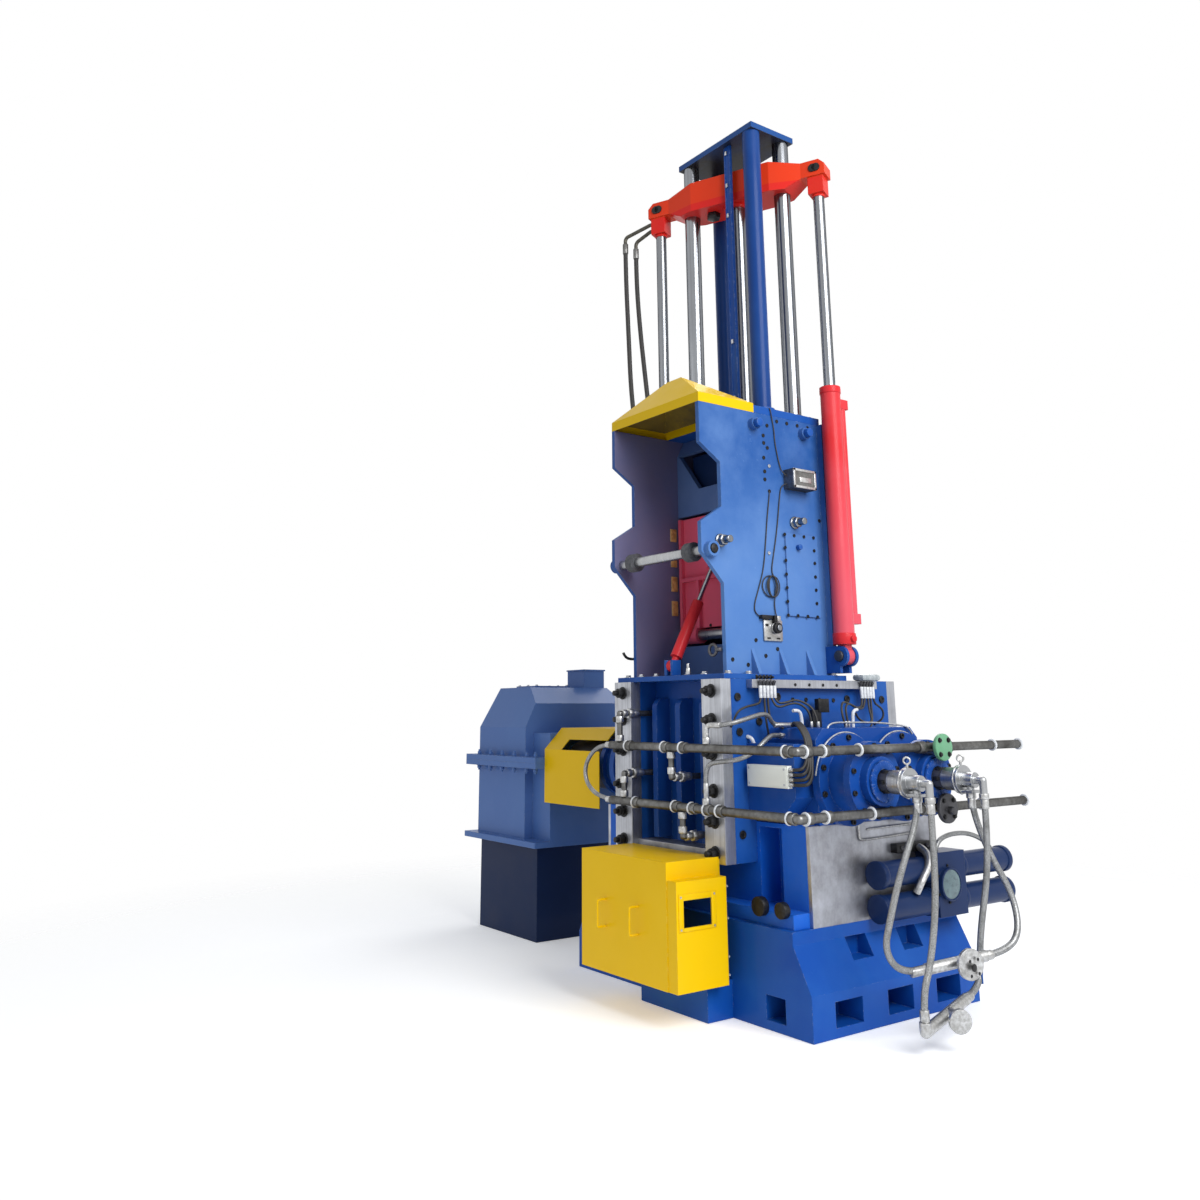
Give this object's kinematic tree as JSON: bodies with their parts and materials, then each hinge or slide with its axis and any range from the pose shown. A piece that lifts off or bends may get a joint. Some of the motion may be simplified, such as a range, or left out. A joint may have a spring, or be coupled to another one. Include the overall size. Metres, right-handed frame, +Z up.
{
  "type": "internal mixer with hydraulic ram and reducer",
  "caption": "Rubber internal mixer: twin rotor chamber on a base, feed hopper with tilting door, ram tower with crosshead and lift cylinders, cooling pipes and gearbox.",
  "frame": {"origin": "on the floor under the middle of the mixing chamber", "axes": "+X along the rotors towards the water end, -Y towards the feed side, +Z up"},
  "size_m": [4.5243, 2.175, 5.543],
  "materials": {
    "blue_paint": "gloss",
    "navy_paint": "gloss",
    "yellow_paint": "gloss",
    "orange_paint": "gloss",
    "red_paint": "gloss",
    "cream_paint": "satin",
    "chrome": "polished",
    "bare_steel": "satin",
    "dark_steel": "satin",
    "galvanised": "satin",
    "rubber": "matte",
    "braided_hose": "satin"
  },
  "bodies": {
    "frame": {"base_frame": "blue_paint", "latch_pedestal": "blue_paint", "latch_guard": "yellow_paint", "bed_block": "blue_paint", "bed_faces": "bare_steel", "end_frames": "blue_paint", "tie_bars": "bare_steel", "chamber_wall_front": "blue_paint", "chamber_wall_rear": "blue_paint", "drop_door": "dark_steel", "sill_plates": "bare_steel", "bearing_blocks": "blue_paint", "bearing_housings": "blue_paint", "rotary_joints": "bare_steel", "hopper_cheek_water": "blue_paint", "hopper_cheek_drive": "blue_paint", "hopper_foot": "blue_paint", "hopper_back_wall": "blue_paint", "hopper_front_panels": "blue_paint", "cross_shaft": "chrome", "cross_shaft_rollers": "rubber", "dust_hood": "yellow_paint", "tower_base": "blue_paint", "guide_columns": "chrome", "tower_posts": "blue_paint", "tower_top_plate": "blue_paint", "sensor_rail": "blue_paint", "lift_cylinders": "red_paint", "cylinder_brackets": "blue_paint", "cooling_headers": "galvanised", "cooling_branches": "galvanised", "discharge_actuator": "navy_paint", "box_bracket": "blue_paint", "junction_box": "cream_paint", "sensor_box": "bare_steel", "lubrication_bar": "bare_steel", "gearbox_lower_case": "blue_paint", "gearbox_upper_case": "blue_paint", "gearbox_pedestal": "blue_paint", "gearbox_input_shaft": "bare_steel", "coupling_guard": "yellow_paint", "ram_hose_outer": "rubber", "ram_hose_inner": "rubber", "water_manifolds": "galvanised", "water_hose_front_outlet": "braided_hose", "water_hose_rear_outlet": "braided_hose", "water_hose_front_elbow": "braided_hose", "water_hose_rear_elbow": "braided_hose"},
    "ram": {"crosshead": "orange_paint", "ram_rod": "chrome", "ram_weight": "navy_paint", "lift_rods": "chrome", "ram_hose_pipes": "bare_steel"},
    "feed_door": {"feed_door": "red_paint", "feed_door_shaft": "chrome"},
    "feed_barrel": {"feed_cylinder": "red_paint"},
    "feed_rod": {"feed_cylinder_rod": "chrome"},
    "rotor_front": {"rotor_front": "dark_steel"},
    "rotor_rear": {"rotor_rear": "dark_steel"}
  },
  "joints": [
    {"name": "ram_lift", "type": "slide", "parent": "frame", "child": "ram", "axis": [0, 0, -1], "range_m": [0, 1.3], "deforming": ["ram_hose_outer", "ram_hose_inner"]},
    {"name": "feed_door_open", "type": "hinge", "parent": "frame", "child": "feed_door", "pos_m": [0, -0.254, 2.08], "axis": [1, 0, 0], "range_deg": [0, 41]},
    {"name": "feed_barrel_swing", "type": "hinge", "parent": "frame", "child": "feed_barrel", "pos_m": [0, -0.68, 1.865], "axis": [1, 0, 0], "range_deg": [0, 20]},
    {"name": "feed_rod_slide", "type": "slide", "parent": "feed_barrel", "child": "feed_rod", "axis": [0, 0.4812, 0.8766], "range_m": [-0.232, 0]},
    {"name": "rotor_front_turn", "type": "hinge", "parent": "frame", "child": "rotor_front", "pos_m": [0, -0.225, 1.23], "axis": [1, 0, 0], "continuous": true},
    {"name": "rotor_rear_turn", "type": "hinge", "parent": "frame", "child": "rotor_rear", "pos_m": [0, 0.225, 1.23], "axis": [1, 0, 0], "continuous": true}
  ],
  "couplings": [
    {"joint": "feed_barrel_swing", "follows": "feed_door_open", "ratio": 0.4765},
    {"joint": "feed_rod_slide", "follows": "feed_door_open", "m_per_rad": -0.3205},
    {"joint": "rotor_rear_turn", "follows": "rotor_front_turn", "ratio": -1}
  ]
}
